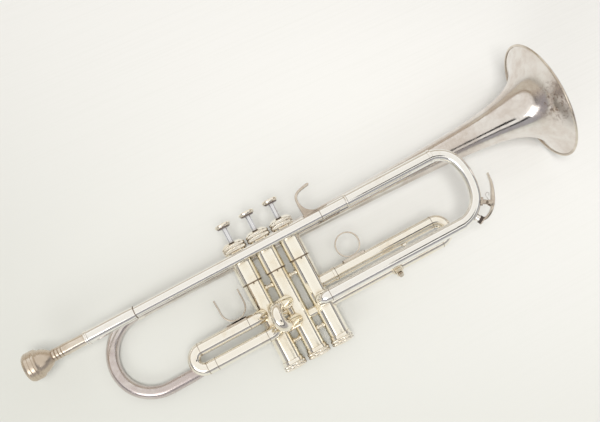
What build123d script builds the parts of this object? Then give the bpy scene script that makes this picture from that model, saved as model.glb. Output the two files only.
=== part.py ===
from build123d import *
import os
from math import atan, cos, radians, sin

# B-flat trumpet with piston valves, silver plated, one long straight leadpipe.
# Drawn in the instrument's own frame, in mm: +X towards the bell, +Y towards the
# finger buttons, +Z to the player's right. The origin is on valve 2's axis, level
# with the leadpipe. The last lines lay the whole instrument on its left side.

# ---------------------------------------------------------------- driving sizes
LEADPIPE_Z = 17.4          # leadpipe and tuning slide stand this far right of the valves
BELL_Z = -20.5             # bell stem stands this far left of them
TUBE_WALL = 0.45
FIT = 0.05                 # radial clearance of every sliding fit

# valves
VALVE_PITCH = 25.0
VALVES_X = (-VALVE_PITCH, 0.0, VALVE_PITCH)
BORE_R = 8.55
CASING_R = 9.6
UPPER_CASING_R = 10.3
CASING_TOP = 10.9
CASING_JOINT = -25.8
CASING_BOTTOM = -108.4
STROKE = 15.0
PISTON_TOP = -33.5
PISTON_BOTTOM = -93.0
BARREL_TOP = 9.0
GUIDE_TOP = -25.9
STEM_R = 2.7
BUTTON_Y = 33.0
BUTTON_R = 8.0
PORT_R = 4.4

# slide tubing
SLEEVE_R = 6.35            # outer tubes of every slide
INNER_R = 5.85             # tubes that slide inside them
BOW_R = 5.7
LEADPIPE_R = 5.35

# bell: stem radius grows slowly, then as a power of the distance to the rim
BELL_END_X = 311.0
BELL_START_X = -138.0
BELL_WALL = 0.5
RIM_WIRE_R = 1.2
RIM_R = 61.5

# bell bow and its tail into valve 1
BOW_BELL_R = 6.2
TAIL_Y = -76.6
TAIL_Z = -5.0
TAIL_R = 5.2

# mouthpiece end
RECEIVER_X = (-181.7, -131.5)
SHANK_END_X = -159.0
MOUTHPIECE_RIM_X = -240.0

# main tuning slide
MAIN_LOW_Y = -69.5
MAIN_LOW_Z = 17.0
MAIN_SLEEVE_X = 88.5
MAIN_UPPER_END = 174.9
MAIN_LOWER_END = 166.0
MAIN_BOW_X = 174.2
MAIN_CORNER_R = (24.5, 27.6)   # upper and lower bends of the bow
MAIN_CORNER_ANGLE = 75.0

# first slide, towards the mouthpiece
FIRST_Y = (-57.6, -76.2)
FIRST_Z = 14.0
FIRST_BOW_X = -95.4
FIRST_STUB_X = -43.5
FIRST_PORT_X = (-31.5, -25.5)

# second slide, to the right and a little back
SECOND_Y = (-56.7, -75.7)
SECOND_DIR = Vector(-sin(radians(30)), 0, cos(radians(30)))
SECOND_SLEEVE = 26.0

# third slide, towards the bell
THIRD_Y = (-55.3, -75.3)
THIRD_BOW_X = 151.5
THIRD_STUB_X = 46.3
THIRD_LOWER_X = 107.0
THIRD_INNER_END = 149.0

# crossover tubes between the casings
CROSSOVER_Y = (-64.0, -76.6)
CROSSOVER_R = 4.7

X_AXIS = Vector(1, 0, 0)
Y_AXIS = Vector(0, 1, 0)
Z_AXIS = Vector(0, 0, 1)


# ---------------------------------------------------------------- helpers
def rod(start, direction, length, radius, mode=Mode.ADD):
    """A plain cylinder from a point, along a direction."""
    with BuildSketch(Plane(origin=start, z_dir=direction)) as disc:
        Circle(radius)
    extrude(disc.sketch, amount=length, mode=mode)


def tube(start, direction, length, outer, inner):
    """A straight tube from a point, along a direction."""
    rod(start, direction, length, outer)
    rod(start, direction, length, inner, Mode.SUBTRACT)


def bent_tube(path, outer, inner):
    """A tube along a path of tangent lines and arcs."""
    for radius, mode in ((outer, Mode.ADD), (inner, Mode.SUBTRACT)):
        with BuildSketch(Plane(origin=path @ 0, z_dir=path % 0)) as disc:
            Circle(radius)
        sweep(disc.sketch, path=path, mode=mode)


def clear_casing(x, radius=CASING_R):
    """Cut away whatever would stand inside a valve casing."""
    rod((x, CASING_BOTTOM, 0), Y_AXIS, CASING_TOP - CASING_BOTTOM, radius, Mode.SUBTRACT)


def turned(points, origin, axis):
    """A solid of revolution from (distance along axis, radius) points."""
    side = Z_AXIS if abs(axis.Z) < 0.5 else X_AXIS
    plane = Plane(origin=origin, x_dir=axis, z_dir=axis.cross(side))
    with BuildSketch(plane) as outline:
        with BuildLine():
            Polyline(*points, close=True)
        make_face()
    revolve(outline.sketch, axis=Axis(origin, axis))


def saddle_foot(x0, x1, axis_y, axis_z, radius, towards, half_width, thick):
    """A thin curved plate on the side of a tube that runs along X."""
    rod((x0, axis_y, axis_z), X_AXIS, x1 - x0, radius + thick)
    plane = Plane(origin=((x0 + x1) / 2, axis_y, axis_z), x_dir=X_AXIS, z_dir=towards)
    with BuildSketch(plane) as keep:
        Rectangle(x1 - x0, 2 * half_width)
    extrude(keep.sketch, amount=radius + 2 * thick, mode=Mode.INTERSECT)
    rod((x0, axis_y, axis_z), X_AXIS, x1 - x0, radius, Mode.SUBTRACT)


def strip(path, across, width, thick):
    """A flat strip of metal bent along a path, its width along the given direction."""
    with BuildSketch(Plane(origin=path @ 0, x_dir=across, z_dir=path % 0)) as section:
        RectangleRounded(width, thick, thick * 0.4)
    sweep(section.sketch, path=path)


def bell_radius(x):
    """Outside radius of the bell at a distance along its axis."""
    stem = 7.30 + 0.0103 * x
    flare = 5472.0 / (23.5 + BELL_END_X - x) ** 1.4766
    return stem + flare


# ---------------------------------------------------------------- bell
with BuildPart() as bell_rim_wire:
    turned_plane = Plane(origin=(BELL_END_X - 0.6, 0, BELL_Z), x_dir=X_AXIS, z_dir=Z_AXIS)
    with BuildSketch(turned_plane) as wire_section:
        with Locations((0, RIM_R - RIM_WIRE_R)):
            Circle(RIM_WIRE_R)
    revolve(wire_section.sketch, axis=Axis((0, 0, BELL_Z), (1, 0, 0)))

FLARE_STATIONS = (-138, -60, 20, 90, 150, 200, 235, 260, 278, 291, 300, 306, BELL_END_X - 0.6)
outside = []
inside = []
for station in FLARE_STATIONS:
    slope = (bell_radius(station + 0.5) - bell_radius(station - 0.5)) / 1.0
    lean = atan(slope)
    outside.append((station, bell_radius(station)))
    inside.append((station + BELL_WALL * sin(lean), bell_radius(station) - BELL_WALL * cos(lean)))

with BuildPart() as bell:
    with BuildSketch(Plane(origin=(0, 0, BELL_Z), x_dir=X_AXIS, z_dir=Z_AXIS)) as bell_section:
        with BuildLine():
            outer_line = Spline(*outside)
            inner_line = Spline(*inside)
            Line(outer_line @ 0, inner_line @ 0)
            Line(outer_line @ 1, inner_line @ 1)
        make_face()
    revolve(bell_section.sketch, axis=Axis((0, 0, BELL_Z), (1, 0, 0)))
    add(bell_rim_wire.part, mode=Mode.SUBTRACT)

with BuildLine() as bell_bow_path:
    bow_chord = Vector(0, TAIL_Y, TAIL_Z - BELL_Z)
    bow_top = Vector(BELL_START_X, 0, BELL_Z)
    bow_arc = ThreePointArc(bow_top, bow_top + bow_chord / 2 - X_AXIS * bow_chord.length / 2,
                            bow_top + bow_chord)
    Line(bow_arc @ 1, (bow_arc @ 1) + X_AXIS * 22)

with BuildPart() as bell_bow:
    bent_tube(bell_bow_path.line, BOW_BELL_R, BOW_BELL_R - TUBE_WALL)
    tail_start = (bow_arc @ 1) + X_AXIS * 22
    tail_length = -VALVE_PITCH - tail_start.X
    turned([(0, BOW_BELL_R - TUBE_WALL), (0, BOW_BELL_R), (14, TAIL_R), (tail_length, TAIL_R),
            (tail_length, TAIL_R - TUBE_WALL), (14, TAIL_R - TUBE_WALL)], tail_start, X_AXIS)
    clear_casing(-VALVE_PITCH)

# ---------------------------------------------------------------- mouthpiece end
mouth_axis = Vector(0, 0, LEADPIPE_Z)

with BuildPart() as mouthpiece:
    x0 = MOUTHPIECE_RIM_X
    with BuildSketch(Plane(origin=mouth_axis, x_dir=X_AXIS, z_dir=Z_AXIS)) as cup_section:
        with BuildLine():
            Polyline((x0 + 3.2, 13.8), (x0 + 5.6, 13.8), (x0 + 6.0, 13.5), (x0 + 6.4, 13.8),
                     (x0 + 9.4, 13.8), (x0 + 9.8, 13.5), (x0 + 10.2, 13.8), (x0 + 11.8, 13.4),
                     (x0 + 13.0, 12.2), (x0 + 14.4, 11.4))
            Spline((x0 + 14.4, 11.4), (x0 + 18.5, 10.2), (x0 + 22.0, 8.0), (x0 + 25.6, 4.8))
            Polyline((x0 + 25.6, 4.8), (x0 + 26.4, 5.7), (x0 + 28.4, 5.7), (x0 + 29.0, 5.0),
                     (x0 + 29.6, 5.6), (x0 + 31.6, 5.6), (x0 + 32.2, 5.0), (x0 + 32.8, 5.6),
                     (x0 + 34.8, 5.6), (x0 + 35.4, 5.0), (x0 + 36.0, 5.7), (x0 + 38.1, 5.7),
                     (x0 + 38.1, 5.95), (SHANK_END_X, 4.85), (SHANK_END_X, 4.2),
                     (x0 + 24, 1.85), (x0 + 13.5, 1.85), (x0 + 12.4, 2.4))
            Spline((x0 + 12.4, 2.4), (x0 + 9.5, 6.0), (x0 + 5.0, 8.1), (x0 + 1.4, 8.6))
            Spline((x0 + 1.4, 8.6), (x0, 11.0), (x0 + 3.2, 13.8))
        make_face()
    revolve(cup_section.sketch, axis=Axis(mouth_axis, (1, 0, 0)))


def shank_radius(x):
    """Radius of the mouthpiece's tapered shank."""
    start = MOUTHPIECE_RIM_X + 38.1
    return 5.95 + (4.85 - 5.95) * (x - start) / (SHANK_END_X - start)


with BuildPart() as receiver:
    x0, x1 = RECEIVER_X
    turned([(x0, shank_radius(x0) + FIT), (x0, 6.5), (x1 - 8, 6.5), (x1, 6.0), (x1, LEADPIPE_R),
            (SHANK_END_X + 0.5, LEADPIPE_R), (SHANK_END_X + 0.5, shank_radius(SHANK_END_X) + FIT),
            (SHANK_END_X, shank_radius(SHANK_END_X) + FIT)], mouth_axis, X_AXIS)

with BuildPart() as leadpipe:
    leadpipe_start = SHANK_END_X + 0.5
    tube(Vector(leadpipe_start, 0, LEADPIPE_Z), X_AXIS, MAIN_SLEEVE_X - leadpipe_start,
         LEADPIPE_R, LEADPIPE_R - TUBE_WALL)

with BuildPart() as ring_ferrules:
    tube(Vector(RECEIVER_X[0], 0, LEADPIPE_Z), X_AXIS, 3.4, 7.1, 6.5)
    tube(Vector(MAIN_SLEEVE_X - 2, 0, LEADPIPE_Z), X_AXIS, 2.0, 6.75, LEADPIPE_R)
    tube(Vector(BELL_START_X - 0.1, 0, BELL_Z), X_AXIS, 7.0, 7.1, bell_radius(BELL_START_X + 7) + 0.02)

# ---------------------------------------------------------------- main tuning slide
with BuildPart() as main_sleeve_upper:
    tube(Vector(MAIN_SLEEVE_X, 0, LEADPIPE_Z), X_AXIS, MAIN_UPPER_END - MAIN_SLEEVE_X,
         SLEEVE_R, INNER_R + FIT)

with BuildLine() as main_low_path:
    knuckle = 7.0
    Line((VALVE_PITCH, MAIN_LOW_Y, 4), (VALVE_PITCH, MAIN_LOW_Y, MAIN_LOW_Z - knuckle))
    TangentArc((VALVE_PITCH, MAIN_LOW_Y, MAIN_LOW_Z - knuckle),
               (VALVE_PITCH + knuckle, MAIN_LOW_Y, MAIN_LOW_Z), tangent=(0, 0, 1))
    Line((VALVE_PITCH + knuckle, MAIN_LOW_Y, MAIN_LOW_Z), (MAIN_LOWER_END, MAIN_LOW_Y, MAIN_LOW_Z))

with BuildPart() as main_sleeve_lower:
    bent_tube(main_low_path.line, SLEEVE_R, INNER_R + FIT)
    clear_casing(VALVE_PITCH)

slide_tilt = Vector(0, MAIN_LOW_Y, MAIN_LOW_Z - LEADPIPE_Z)
bow_drop = slide_tilt.length
bow_plane = Plane(origin=(MAIN_BOW_X, 0, LEADPIPE_Z), x_dir=X_AXIS, z_dir=X_AXIS.cross(-slide_tilt))
corner_drop = sum(MAIN_CORNER_R) * (1 - cos(radians(MAIN_CORNER_ANGLE)))
middle_angle = 180 - 2 * MAIN_CORNER_ANGLE
middle_r = (bow_drop - corner_drop) / 2 / sin(radians(middle_angle / 2))
lower_bend_x = MAIN_BOW_X + (MAIN_CORNER_R[0] - MAIN_CORNER_R[1]) * sin(radians(MAIN_CORNER_ANGLE))
LOWER_FERRULE_X = 170.8

with BuildLine(bow_plane) as main_bow_path:
    corner_a = JernArc((0, 0), (1, 0), MAIN_CORNER_R[0], -MAIN_CORNER_ANGLE)
    middle = JernArc(corner_a @ 1, corner_a % 1, middle_r, -middle_angle)
    corner_b = JernArc(middle @ 1, middle % 1, MAIN_CORNER_R[1], -MAIN_CORNER_ANGLE)
    Line(corner_b @ 1, (corner_b @ 1) - X_AXIS * (lower_bend_x - LOWER_FERRULE_X))

with BuildPart() as main_bow:
    bent_tube(main_bow_path.line, BOW_R, BOW_R - TUBE_WALL)

with BuildPart() as main_slide_tubes:
    tube(Vector(92, 0, LEADPIPE_Z), X_AXIS, MAIN_BOW_X - 92, INNER_R, INNER_R - TUBE_WALL)
    tube(Vector(46, MAIN_LOW_Y, MAIN_LOW_Z), X_AXIS, LOWER_FERRULE_X - 46, INNER_R, INNER_R - TUBE_WALL)



def clear_bow():
    """Cut away whatever would stand inside the main bow."""
    path = main_bow_path.line
    with BuildSketch(Plane(origin=path @ 0, z_dir=path % 0)) as bow_disc:
        Circle(BOW_R)
    sweep(bow_disc.sketch, path=path, mode=Mode.SUBTRACT)


with BuildPart() as main_ferrules:
    rod(Vector(MAIN_UPPER_END, 0, LEADPIPE_Z), X_AXIS, 3.0, 6.6)
    rod(Vector(MAIN_LOWER_END, MAIN_LOW_Y, MAIN_LOW_Z), X_AXIS, 9.0, 6.2)
    rod(Vector(MAIN_LOWER_END, MAIN_LOW_Y, MAIN_LOW_Z), X_AXIS, LOWER_FERRULE_X - MAIN_LOWER_END,
        INNER_R, Mode.SUBTRACT)
    clear_bow()

# water key on the lower bend of the tuning slide
corner_centre = Vector(lower_bend_x, MAIN_LOW_Y + MAIN_CORNER_R[1], MAIN_LOW_Z)


def around_corner(angle, distance):
    """A point in the slide's plane, by angle from straight down about the lower bend."""
    turn = radians(angle)
    return corner_centre + Vector(sin(turn), -cos(turn), 0) * distance


bend_out = MAIN_CORNER_R[1] + BOW_R
NIPPLE_ANGLE = 31.0
POST_ANGLE = 57.6
PIVOT_HEIGHT = 7.0
nipple_dir = (around_corner(NIPPLE_ANGLE, 1) - corner_centre).normalized()
post_dir = (around_corner(POST_ANGLE, 1) - corner_centre).normalized()
pivot = around_corner(POST_ANGLE, bend_out + PIVOT_HEIGHT)

with BuildPart() as water_key_nipple:
    rod(around_corner(NIPPLE_ANGLE, bend_out - 1.5), nipple_dir, 4.3, 3.4)
    clear_bow()
    rod(around_corner(NIPPLE_ANGLE, bend_out - 3), nipple_dir, 8, 1.8, Mode.SUBTRACT)

with BuildPart() as water_key_cork:
    rod(around_corner(NIPPLE_ANGLE, bend_out + 2.8), nipple_dir, 2.9, 3.7)

with BuildPart() as water_key_post:
    post_plane = Plane(origin=around_corner(POST_ANGLE, bend_out - 1.5), x_dir=Z_AXIS, z_dir=post_dir)
    with BuildSketch(post_plane) as post_foot:
        RectangleRounded(7.0, 8.0, 1.2)
    extrude(post_foot.sketch, amount=2.3)
    with BuildSketch(post_plane) as post_web:
        RectangleRounded(3.2, 4.4, 0.8)
    extrude(post_web.sketch, amount=PIVOT_HEIGHT + 0.9)
    rod(pivot - Z_AXIS * 1.6, Z_AXIS, 3.2, 1.55)
    clear_bow()
    rod(pivot - Z_AXIS * 8, Z_AXIS, 16, 0.9, Mode.SUBTRACT)

with BuildPart() as water_key_screw:
    rod(pivot - Z_AXIS * 5.4, Z_AXIS, 10.9, 0.9)
    rod(pivot + Z_AXIS * 5.5, Z_AXIS, 0.9, 1.7)
    rod(pivot - Z_AXIS * 6.2, Z_AXIS, 0.8, 1.5)

LEVER_OUTER = ((197.0, -76.2), (203.2, -73.2), (208.3, -68.2), (212.0, -62.6), (215.2, -55.2),
               (217.3, -47.9), (218.2, -38.4))
LEVER_INNER = ((216.9, -38.4), (215.5, -47.0), (212.8, -53.9), (209.5, -59.8), (205.3, -67.6),
               (202.2, -71.0), (197.6, -73.4))
seat = around_corner(NIPPLE_ANGLE, bend_out + 5.7)

with BuildPart() as water_key_lever:
    with BuildSketch(Plane(origin=(0, 0, MAIN_LOW_Z - 2.5))) as lever_arm:
        with BuildLine():
            arm_root = seat + nipple_dir * 1.25
            outer_edge = Spline((arm_root.X, arm_root.Y), *LEVER_OUTER)
            inner_edge = Spline(*LEVER_INNER, (seat.X + 1.9, seat.Y + 1.0))
            Line(outer_edge @ 1, inner_edge @ 0)
            Line(inner_edge @ 1, outer_edge @ 0)
        make_face()
    extrude(lever_arm.sketch, amount=5.0)
    rod(seat, nipple_dir, 1.3, 4.2)
    ear_tip = around_corner(POST_ANGLE - 2, bend_out + PIVOT_HEIGHT + 3.6)
    for side in (-1, 1):
        ear = pivot + Z_AXIS * (4.0 * side - 0.5)
        rod(ear, Z_AXIS, 1.0, 2.1)
        with BuildSketch(Plane(origin=ear, x_dir=ear_tip - pivot, z_dir=Z_AXIS)) as ear_plate:
            with Locations(((ear_tip - pivot).length / 2, 0)):
                Rectangle((ear_tip - pivot).length, 4.2)
        extrude(ear_plate.sketch, amount=1.0)
    rod(ear_tip - Z_AXIS * 4.5, Z_AXIS, 9.0, 1.3)
    rod(pivot - Z_AXIS * 8, Z_AXIS, 16, 0.9 + FIT, Mode.SUBTRACT)

with BuildPart() as water_key_spring:
    coil = Helix(pitch=0.6, height=1.2, radius=1.5, center=tuple(pivot + Z_AXIS * 1.95))
    with BuildSketch(Plane(origin=coil @ 0, z_dir=coil % 0)) as coil_wire:
        Circle(0.25)
    sweep(coil_wire.sketch, path=coil)

# ---------------------------------------------------------------- first slide
def knuckle_path(port, leg_end, bend):
    """From inside a casing, out to the right, then along X to the end of the leg."""
    towards = 1 if leg_end[0] > port[0] else -1
    with BuildLine() as run:
        Line((port[0], port[1], 3), (port[0], port[1], leg_end[2] - bend))
        TangentArc((port[0], port[1], leg_end[2] - bend), (port[0] + towards * bend, port[1], leg_end[2]),
                   tangent=(0, 0, 1))
        Line((port[0] + towards * bend, port[1], leg_end[2]), leg_end)
    return run.line


first_upper_path = knuckle_path((FIRST_PORT_X[0], FIRST_Y[0]), (FIRST_STUB_X, FIRST_Y[0], FIRST_Z), 6.6)
first_lower_path = knuckle_path((FIRST_PORT_X[1], FIRST_Y[1]), (FIRST_BOW_X, FIRST_Y[1], FIRST_Z), 6.6)

with BuildPart() as first_upper_tube:
    bent_tube(first_upper_path, SLEEVE_R, INNER_R - TUBE_WALL)
    tube(Vector(FIRST_STUB_X, FIRST_Y[0], FIRST_Z), -X_AXIS, FIRST_STUB_X - FIRST_BOW_X - 2,
         INNER_R, INNER_R - TUBE_WALL)
    clear_casing(-VALVE_PITCH)

with BuildPart() as first_lower_sleeve:
    bent_tube(first_lower_path, SLEEVE_R, INNER_R + FIT)
    clear_casing(-VALVE_PITCH)

with BuildPart() as first_outer_tube:
    tube(Vector(FIRST_BOW_X, FIRST_Y[0], FIRST_Z), X_AXIS, FIRST_STUB_X - FIRST_BOW_X,
         SLEEVE_R, INNER_R + FIT)

with BuildPart() as first_inner_tube:
    tube(Vector(FIRST_BOW_X, FIRST_Y[1], FIRST_Z), X_AXIS, 46, INNER_R, INNER_R - TUBE_WALL)

with BuildLine() as first_bow_path:
    ThreePointArc((FIRST_BOW_X, FIRST_Y[0], FIRST_Z),
                  (FIRST_BOW_X - (FIRST_Y[0] - FIRST_Y[1]) / 2, sum(FIRST_Y) / 2, FIRST_Z),
                  (FIRST_BOW_X, FIRST_Y[1], FIRST_Z))

with BuildPart() as first_bow:
    bent_tube(first_bow_path.line, SLEEVE_R - 0.1, INNER_R - TUBE_WALL)

SADDLE_X = -51.5
SADDLE_R = 11.9
foot_top = FIRST_Y[0] + SLEEVE_R + 0.9
with BuildLine() as saddle_path:
    saddle_centre_y = foot_top + SADDLE_R + 0.5
    Line((SADDLE_X - SADDLE_R - 0.6, -24.5, FIRST_Z), (SADDLE_X - SADDLE_R, saddle_centre_y + 4, FIRST_Z))
    Line((SADDLE_X - SADDLE_R, saddle_centre_y + 4, FIRST_Z), (SADDLE_X - SADDLE_R, saddle_centre_y, FIRST_Z))
    ThreePointArc((SADDLE_X - SADDLE_R, saddle_centre_y, FIRST_Z),
                  (SADDLE_X, saddle_centre_y - SADDLE_R, FIRST_Z),
                  (SADDLE_X + SADDLE_R, saddle_centre_y, FIRST_Z))
    Line((SADDLE_X + SADDLE_R, saddle_centre_y, FIRST_Z), (SADDLE_X + SADDLE_R, -24.7, FIRST_Z))

with BuildPart() as thumb_saddle:
    saddle_foot(SADDLE_X - 12.5, FIRST_STUB_X - 0.6, FIRST_Y[0], FIRST_Z, SLEEVE_R, Y_AXIS, 4.2, 0.9)
    strip(saddle_path.line, Z_AXIS, 9.0, 1.3)

# ---------------------------------------------------------------- second slide
with BuildPart() as second_sleeves:
    for leg_y in SECOND_Y:
        tube(Vector(0, leg_y, 0), SECOND_DIR, SECOND_SLEEVE, SLEEVE_R - 0.2, INNER_R - 0.2 + FIT)
    clear_casing(0)

with BuildPart() as second_tubes:
    for leg_y in SECOND_Y:
        tube(Vector(0, leg_y, 0) + SECOND_DIR * 13, SECOND_DIR, SECOND_SLEEVE + 2 - 13,
             INNER_R - 0.2, INNER_R - 0.2 - TUBE_WALL)

bow_root = SECOND_DIR * (SECOND_SLEEVE + 2)
second_half = (SECOND_Y[0] - SECOND_Y[1]) / 2
with BuildLine() as second_bow_path:
    ThreePointArc(bow_root + Y_AXIS * SECOND_Y[0],
                  bow_root + Y_AXIS * (sum(SECOND_Y) / 2) + SECOND_DIR * second_half,
                  bow_root + Y_AXIS * SECOND_Y[1])

with BuildPart() as second_bow:
    bent_tube(second_bow_path.line, INNER_R, INNER_R - 0.2 - TUBE_WALL)
    for leg_y in SECOND_Y:
        tube(bow_root + Y_AXIS * leg_y, -SECOND_DIR, 1.95, SLEEVE_R, INNER_R - 0.2)

# ---------------------------------------------------------------- third slide
with BuildPart() as third_tubes:
    for leg_y in THIRD_Y:
        tube(Vector(VALVE_PITCH, leg_y, 0), X_AXIS, THIRD_INNER_END - VALVE_PITCH,
             INNER_R, INNER_R - TUBE_WALL)
    rod(Vector(VALVE_PITCH, THIRD_Y[0], 0), X_AXIS, THIRD_STUB_X - VALVE_PITCH, SLEEVE_R)
    rod(Vector(VALVE_PITCH, THIRD_Y[1], 0), X_AXIS, 11.5, SLEEVE_R)
    for leg_y in THIRD_Y:
        rod(Vector(VALVE_PITCH, leg_y, 0), X_AXIS, THIRD_INNER_END - VALVE_PITCH,
            INNER_R - TUBE_WALL, Mode.SUBTRACT)
    clear_casing(VALVE_PITCH)

with BuildPart() as third_outer_tubes:
    tube(Vector(THIRD_STUB_X, THIRD_Y[0], 0), X_AXIS, THIRD_BOW_X - THIRD_STUB_X, SLEEVE_R, INNER_R + FIT)
    tube(Vector(THIRD_STUB_X, THIRD_Y[0], 0), X_AXIS, 2.6, SLEEVE_R + 0.6, INNER_R + FIT)
    tube(Vector(THIRD_LOWER_X, THIRD_Y[1], 0), X_AXIS, THIRD_BOW_X - THIRD_LOWER_X, SLEEVE_R, INNER_R + FIT)

with BuildLine() as third_bow_path:
    ThreePointArc((THIRD_BOW_X, THIRD_Y[0], 0),
                  (THIRD_BOW_X + (THIRD_Y[0] - THIRD_Y[1]) / 2, sum(THIRD_Y) / 2, 0),
                  (THIRD_BOW_X, THIRD_Y[1], 0))

with BuildPart() as third_bow:
    bent_tube(third_bow_path.line, SLEEVE_R - 0.1, INNER_R - TUBE_WALL)

RING_X = 71.0
RING_R = 10.9
RING_THICK = 1.3
RING_WIDTH = 5.0
ring_foot_top = THIRD_Y[0] + SLEEVE_R + 0.9
ring_y = ring_foot_top + RING_R + RING_THICK - 0.3
with BuildPart() as third_ring:
    rod(Vector(RING_X, ring_y, -RING_WIDTH / 2), Z_AXIS, RING_WIDTH, RING_R + RING_THICK)
    saddle_plate = Plane(origin=(RING_X, THIRD_Y[0] + SLEEVE_R - 1.5, 0), x_dir=X_AXIS, z_dir=Y_AXIS)
    with BuildSketch(saddle_plate) as ring_plate:
        RectangleRounded(24.0, 8.0, 2.5)
    extrude(ring_plate.sketch, amount=2.4)
    rod(Vector(RING_X - 14, THIRD_Y[0], 0), X_AXIS, 28, SLEEVE_R, Mode.SUBTRACT)
    rod(Vector(RING_X, ring_y, -RING_WIDTH), Z_AXIS, 2 * RING_WIDTH, RING_R, Mode.SUBTRACT)

BRACE_X = 119.0
with BuildPart() as third_brace:
    gap_top = THIRD_Y[0]
    gap = THIRD_Y[0] - THIRD_Y[1]
    rod(Vector(BRACE_X, THIRD_Y[1], 0), Y_AXIS, gap, 1.3)
    for leg_y, inward in ((THIRD_Y[0], -1), (THIRD_Y[1], 1)):
        rod(Vector(BRACE_X, leg_y + inward * (SLEEVE_R - 1.0), 0), Y_AXIS * inward, 1.8, 3.4)
    with Locations((BRACE_X, sum(THIRD_Y) / 2, 0)):
        Sphere(2.0)
    for leg_y in THIRD_Y:
        rod(Vector(BRACE_X - 6, leg_y, 0), X_AXIS, 12, SLEEVE_R, Mode.SUBTRACT)

# socket for a music lyre on the third slide's fixed lower tube, with its thumbscrew
LYRE_X = 101.5
LYRE_BORE_R = 1.6
lyre_dir = Vector(0, -1, 1).normalized()
lyre_across = Vector(0, 1, 1).normalized()
lyre_root = Vector(LYRE_X, THIRD_Y[1], 0)
with BuildPart() as lyre_holder:
    foot_plane = Plane(origin=lyre_root + lyre_dir * 4.2, x_dir=X_AXIS, z_dir=lyre_dir)
    with BuildSketch(foot_plane) as lyre_foot:
        RectangleRounded(10.0, 7.0, 1.5)
    extrude(lyre_foot.sketch, amount=2.5)
    with BuildSketch(foot_plane) as lyre_block:
        RectangleRounded(6.6, 5.6, 0.8)
    extrude(lyre_block.sketch, amount=7.2)
    rod(Vector(LYRE_X - 8, THIRD_Y[1], 0), X_AXIS, 16, INNER_R, Mode.SUBTRACT)
    rod(lyre_root + lyre_dir * 8.6 - X_AXIS * 6, X_AXIS, 12, LYRE_BORE_R, Mode.SUBTRACT)
    rod(lyre_root + lyre_dir * 8.6, lyre_dir, 6, 1.0 + FIT, Mode.SUBTRACT)

with BuildPart() as lyre_screw:
    rod(lyre_root + lyre_dir * 10.3, lyre_dir, 2.2, 1.0)
    rod(lyre_root + lyre_dir * 12.0, lyre_dir, 2.4, 2.3)

# ---------------------------------------------------------------- valves
# every passage that meets a casing: direction from the valve's axis, and height
first_port = Vector(FIRST_PORT_X[0] + VALVE_PITCH, 0, 7.5).normalized()
PORTS = (
    ((-X_AXIS, TAIL_Y), (X_AXIS, CROSSOVER_Y[0]), (first_port, FIRST_Y[0]), (Z_AXIS, FIRST_Y[1])),
    ((-X_AXIS, CROSSOVER_Y[0]), (X_AXIS, CROSSOVER_Y[1]), (SECOND_DIR, SECOND_Y[0]),
     (SECOND_DIR, SECOND_Y[1])),
    ((-X_AXIS, CROSSOVER_Y[1]), (Z_AXIS, MAIN_LOW_Y), (X_AXIS, THIRD_Y[0]), (X_AXIS, THIRD_Y[1])),
)


def passages(x, ports, radius, mode):
    """The two bores that meet inside a piston, and its four pockets for the pressed position."""
    through = (ports[0][1] + ports[1][1]) / 2
    for direction, height in ports[:2]:
        mouth = Vector(x, height, 0) + direction * (BORE_R + 2)
        run = mouth - Vector(x, through, 0)
        rod(Vector(x, through, 0) - run.normalized() * 3, run, run.length + 3, radius, mode)
    pocket_floor = BORE_R - 3.2 - (radius - PORT_R)
    for direction, height in ports:
        rod(Vector(x, height + STROKE, 0) + direction * pocket_floor, direction, 6, radius, mode)


def piston_cavity(x, ports):
    """The space inside a piston, around its passages."""
    with BuildPart() as cavity:
        rod((x, PISTON_BOTTOM - 1, 0), Y_AXIS, PISTON_TOP - PISTON_BOTTOM + 0.2, BORE_R - FIT - 0.8)
        passages(x, ports, PORT_R + 0.5, Mode.SUBTRACT)
    return cavity.part


def piston_body(x, ports, cavity):
    """A thin piston with its spring barrel: open passages for up, pockets for down."""
    skin = BORE_R - FIT
    turned([(PISTON_BOTTOM, 0), (PISTON_BOTTOM, skin), (PISTON_TOP, skin), (PISTON_TOP, 7.6),
            (BARREL_TOP, 7.6), (BARREL_TOP, 1.4), (BARREL_TOP - 2, 1.4), (BARREL_TOP - 2, 6.8),
            (PISTON_TOP + 1, 6.8),
            (PISTON_TOP + 1, 0)], Vector(x, 0, 0), Y_AXIS)
    add(cavity, mode=Mode.SUBTRACT)
    passages(x, ports, PORT_R, Mode.SUBTRACT)
    slot_height = GUIDE_TOP + STROKE + 1.2 - (GUIDE_TOP - 2.4)
    with BuildSketch(Plane(origin=(x, GUIDE_TOP - 2.4, 0), x_dir=X_AXIS, z_dir=Y_AXIS)) as slot:
        Rectangle(3.6, 18)
    extrude(slot.sketch, amount=slot_height, mode=Mode.SUBTRACT)


cavities = [piston_cavity(x, ports) for x, ports in zip(VALVES_X, PORTS)]

with BuildPart() as piston_1:
    piston_body(VALVES_X[0], PORTS[0], cavities[0])

with BuildPart() as piston_2:
    piston_body(VALVES_X[1], PORTS[1], cavities[1])

with BuildPart() as piston_3:
    piston_body(VALVES_X[2], PORTS[2], cavities[2])


def casing_body(x, ports):
    """The lower casing of one valve, open where its tubes meet it."""
    tube(Vector(x, CASING_BOTTOM, 0), Y_AXIS, CASING_JOINT - CASING_BOTTOM, CASING_R, BORE_R)
    for direction, height in ports:
        rod(Vector(x, height, 0) + direction * 5, direction, 6, PORT_R, Mode.SUBTRACT)


with BuildPart() as casing_1:
    casing_body(VALVES_X[0], PORTS[0])

with BuildPart() as casing_2:
    casing_body(VALVES_X[1], PORTS[1])

with BuildPart() as casing_3:
    casing_body(VALVES_X[2], PORTS[2])

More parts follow.
